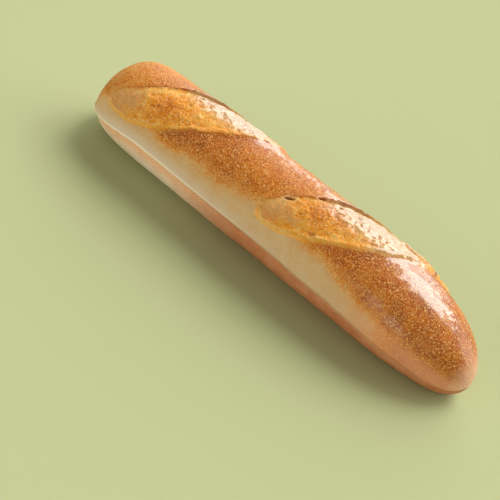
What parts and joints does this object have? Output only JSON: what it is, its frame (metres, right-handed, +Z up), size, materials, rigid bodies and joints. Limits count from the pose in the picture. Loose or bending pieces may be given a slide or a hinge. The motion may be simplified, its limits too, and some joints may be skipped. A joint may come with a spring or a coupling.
{
  "type": "baguette",
  "caption": "Short crusty wheat loaf with blunt rounded ends, a domed scored crust, torn leaf-shaped openings and a rounded base with a flat resting strip.",
  "frame": {"origin": "middle of the loaf's footprint, on the surface it lies on", "axes": "+X along the loaf, towards the sloping end; +Y across it; +Z up, through the scored crust"},
  "size_m": [0.2624, 0.0578, 0.0513],
  "materials": {
    "crust": "baked crust: glossy golden brown with fine blisters on top, pale and matte along the sides, torn golden crumb in the openings"
  },
  "bodies": {
    "root": {"loaf": "crust"}
  },
  "joints": []
}
